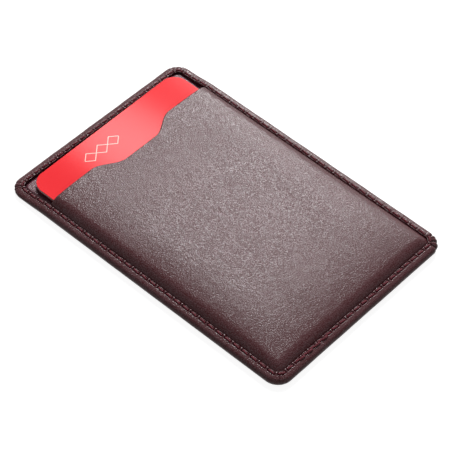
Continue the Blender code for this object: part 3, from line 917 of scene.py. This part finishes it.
# %% [markdown]
# The seam's two ends overlap by a few stitches at the closed end, which locks them. The second
# pass lies on the first, a little aside and out of step, and looks like one thick, knotty row.

# %% Lock the seam's ends
TACK_X = (-23.0, -12.0)
TACK_RADIUS = 0.3
TACK_LIFT = 0.14
TACK_ASIDE = 0.28
# The outline's side along the closed end is its sixth span, which runs towards +X.
CLOSED_END = 5
tack_start = SPAN_STARTS[CLOSED_END] + TACK_X[0] + HALF_WIDTH - CORNER
tack_count = round((TACK_X[1] - TACK_X[0]) / PITCH)
tack_place, tack_phase = stitch_phases(0, tack_count)
tack_line = needle_line(tack_place + tack_start, tack_phase, TACK_LIFT, TACK_ASIDE)
tack_points, tack_faces = tube(tack_line, TACK_RADIUS, SIDES, False)
tack_faces = [[corner + len(needle_points) for corner in face] for face in tack_faces]
needle_uv = np.concatenate([needle_uv,
                            thread_uv(tack_count * PITCH, len(tack_place), SIDES)])
make_piece("needle_stitches", np.concatenate([needle_points, tack_points]),
           needle_faces + tack_faces, burgundy_thread, "case", "burgundy_thread",
           ["needle_thread"], uv=needle_uv)
make_piece("bobbin_stitches", bobbin_points, bobbin_faces, burgundy_thread, "case",
           "burgundy_thread", ["bobbin_thread"], uv=thread_uv(seam_length, len(place), SIDES))

# %% [markdown]
# ## The card
# Three layers pressed into one: a thick white core between two printed films. They are cut
# together, so they share one outline. The card lies a little askew and tipped, along the line
# that it slides on, and the frame's slide joint gives that direction.

# %% Build the card
CARD_WIDTH = 55.0
CARD_LENGTH = 85.0
CARD_CORNER = 4.2
CARD_FILM = 0.12
CARD_CORE = 0.48
FILM_BOND = 0.04
CORNER_STEP = 0.3
FLAT_STEP = 1.5

core_low, core_high = box_mm("card_core")
card_middle = (core_low + core_high) / 2
card_across = np.cross(slide, (0, 0, 1))
card_across /= np.linalg.norm(card_across)
card_up = np.cross(card_across, slide)


def build_card_layer(low, high):
    """A rounded sheet between two heights above the card's middle plane, set along the slide."""
    side = ticks((0, CARD_CORNER, CORNER_STEP), (CARD_CORNER, CARD_WIDTH / 2, FLAT_STEP))
    end = ticks((0, CARD_CORNER, CORNER_STEP), (CARD_CORNER, CARD_LENGTH / 2, FLAT_STEP))
    x_line = np.concatenate([side - CARD_WIDTH / 2, (CARD_WIDTH / 2 - side)[-2::-1]])
    y_line = np.concatenate([end - CARD_LENGTH / 2, (CARD_LENGTH / 2 - end)[-2::-1]])
    flat_x, flat_y = np.meshgrid(x_line, y_line)
    x, y = round_corners(flat_x, flat_y, CARD_WIDTH / 2, CARD_LENGTH / 2, CARD_CORNER)
    points, faces = closed_sheet(x, y, np.full_like(x, high), np.full_like(x, low))
    placed = (card_middle + points[:, :1] * card_across + points[:, 1:2] * slide +
              points[:, 2:] * card_up)
    return placed, faces


film_low = CARD_CORE / 2 + FILM_BOND
make_piece("card_middle", *build_card_layer(-CARD_CORE / 2, CARD_CORE / 2), card_plastic,
           "card", "white_pvc", ["card_core"])
make_piece("card_face_film", *build_card_layer(film_low, film_low + CARD_FILM), red_print,
           "card", "red_printed_pvc", ["card_front_sheet"])
make_piece("card_back_film", *build_card_layer(-film_low - CARD_FILM, -film_low), red_print,
           "card", "red_printed_pvc", ["card_back_sheet"])

# %% [markdown]
# ## The sheets that stay as they are
# The stiffening board and the foil behind it are plain flat sheets, so the frame's own shapes
# are right. They only need their finish.

# %% Finish the frame's own sheets
for node, finish in (("back_board", fibre_board), ("back_shield_foil", shield_foil)):
    frame["nodes"][node].data.materials.clear()
    frame["nodes"][node].data.materials.append(finish)

# %% [markdown]
# ## Floor, light and camera
# The case lies on a plain pale floor. A tall, narrow soft light stands behind it, to its right,
# tilted along the case, and the satin leather mirrors it as a broad sheen that falls off down
# every slope. A wide, weak light on the right lifts the far hem.
# The floor and the world are white for the rays that show them, straight from the camera,
# mirrored or through a clear piece. For all others they are dim, because the leather's dark
# sides show that the real surroundings gave little light.

# %% Floor and world
FLOOR_HALF = 3.0


def sees_white(tree):
    """1 for the rays that show the white surroundings: from the camera, mirrored or through."""
    path = add(tree, "ShaderNodeLightPath")
    shown = path.outputs["Is Camera Ray"]
    for kind in ("Is Glossy Ray", "Is Transmission Ray"):
        shown = add(tree, MATH, {0: shown, 1: path.outputs[kind]}, operation="MAXIMUM")
    return shown


def stage_floor():
    """The paper under the case, a stage piece that isn't part of the model."""
    material = bpy.data.materials.new("pale floor")
    material.use_nodes = True
    tree = material.node_tree
    tree.nodes.clear()
    seen = sees_white(tree)
    paper = add(tree, "ShaderNodeBsdfDiffuse", {"Color": linear("#969696")})
    glow = add(tree, "ShaderNodeEmission", {"Color": linear("#ffffff"), "Strength": 0.9})
    bright = add(tree, "ShaderNodeAddShader", {0: paper.outputs["BSDF"],
                                               1: glow.outputs["Emission"]})
    plain = add(tree, "ShaderNodeBsdfDiffuse", {"Color": linear("#6e6a6a")})
    mixed = add(tree, "ShaderNodeMixShader", {0: seen, 1: plain.outputs["BSDF"],
                                              2: bright.outputs["Shader"]})
    add(tree, "ShaderNodeOutputMaterial", {"Surface": mixed.outputs["Shader"]})
    mesh = bpy.data.meshes.new("floor")
    side, low = FLOOR_HALF, -GLUE * MM
    mesh.from_pydata([(-side, -side, low), (side, -side, low), (side, side, low),
                      (-side, side, low)], [], [(0, 1, 2, 3)])
    mesh.materials.append(material)
    floor = bpy.data.objects.new("floor", mesh)
    bpy.context.scene.collection.objects.link(floor)


stage_floor()

world = bpy.data.worlds.new("studio")
bpy.context.scene.world = world
world.use_nodes = True
sky = world.node_tree
sky.nodes.clear()
seen = sees_white(sky)
room = add(sky, "ShaderNodeBackground", {"Color": linear("#ffffff"), "Strength": 0.2})
backdrop = add(sky, "ShaderNodeBackground", {"Color": linear("#ffffff"), "Strength": 1.0})
shown = add(sky, "ShaderNodeMixShader", {0: seen, 1: room.outputs["Background"],
                                         2: backdrop.outputs["Background"]})
add(sky, "ShaderNodeOutputWorld", {"Surface": shown.outputs["Shader"]})


# %% Lights
LIGHT_DISTANCE = 1.2


def softbox(name, azimuth, elevation, roll, width, height, power):
    """A rectangular light that faces the case from a direction in degrees, rolled about its own
    axis. Azimuth 0 is behind the case, at +Y, and 90 is at +X."""
    turn, climb = math.radians(azimuth), math.radians(elevation)
    towards = np.array([math.sin(turn) * math.cos(climb), math.cos(turn) * math.cos(climb),
                        math.sin(climb)])
    light = bpy.data.lights.new(name, "AREA")
    light.shape = "RECTANGLE"
    light.size = width
    light.size_y = height
    light.energy = power
    lamp = bpy.data.objects.new(name, light)
    bpy.context.scene.collection.objects.link(lamp)
    sideways = np.cross(-towards, (0, 0, 1))
    sideways /= np.linalg.norm(sideways)
    upward = np.cross(sideways, -towards)
    lean = math.radians(roll)
    sideways, upward = (sideways * math.cos(lean) + upward * math.sin(lean),
                        upward * math.cos(lean) - sideways * math.sin(lean))
    lamp.matrix_world = Matrix(np.vstack([
        np.column_stack([sideways, upward, towards, LIGHT_DISTANCE * towards]),
        (0, 0, 0, 1)]).tolist())


softbox("strip light", azimuth=53.5, elevation=40.5, roll=-16.8, width=0.27, height=0.75,
        power=19.6)
softbox("right light", azimuth=76, elevation=22, roll=0, width=0.9, height=0.6, power=1.2)

# %% [markdown]
# The camera stands where the photographer's did. Its direction, distance and lens were found by
# matching the case's outline, its seam and the card's edges, for the sizes of the frame.

# %% Camera
AZIMUTH = math.radians(-50.868)
ELEVATION = math.radians(49.1484)
ROLL = math.radians(3.9476)
DISTANCE = 540.4432
TARGET = np.array([-1.5145, -1.513, 0.0])
FOCAL_PIXELS = 2119.4669
PHOTO_PIXELS = 450


def photo_camera():
    """Camera axes from azimuth, elevation and roll: the back axis points from the target to the
    camera, and the other two are turned about it by the roll."""
    back = np.array([math.sin(AZIMUTH) * math.cos(ELEVATION),
                     -math.cos(AZIMUTH) * math.cos(ELEVATION), math.sin(ELEVATION)])
    right = np.array([math.cos(AZIMUTH), math.sin(AZIMUTH), 0.0])
    above = np.cross(back, right)
    x_axis = right * math.cos(ROLL) + above * math.sin(ROLL)
    y_axis = above * math.cos(ROLL) - right * math.sin(ROLL)
    place = (TARGET + back * DISTANCE) * MM
    camera = bpy.data.cameras.new("camera")
    camera.sensor_width = 36.0
    camera.lens = camera.sensor_width * FOCAL_PIXELS / PHOTO_PIXELS
    camera.clip_start = 0.05
    holder = bpy.data.objects.new("camera", camera)
    bpy.context.scene.collection.objects.link(holder)
    holder.matrix_world = Matrix(np.vstack([np.column_stack([x_axis, y_axis, back, place]),
                                            (0, 0, 0, 1)]).tolist())
    return holder


bpy.context.scene.camera = photo_camera()
bpy.context.scene.view_settings.view_transform = "Standard"
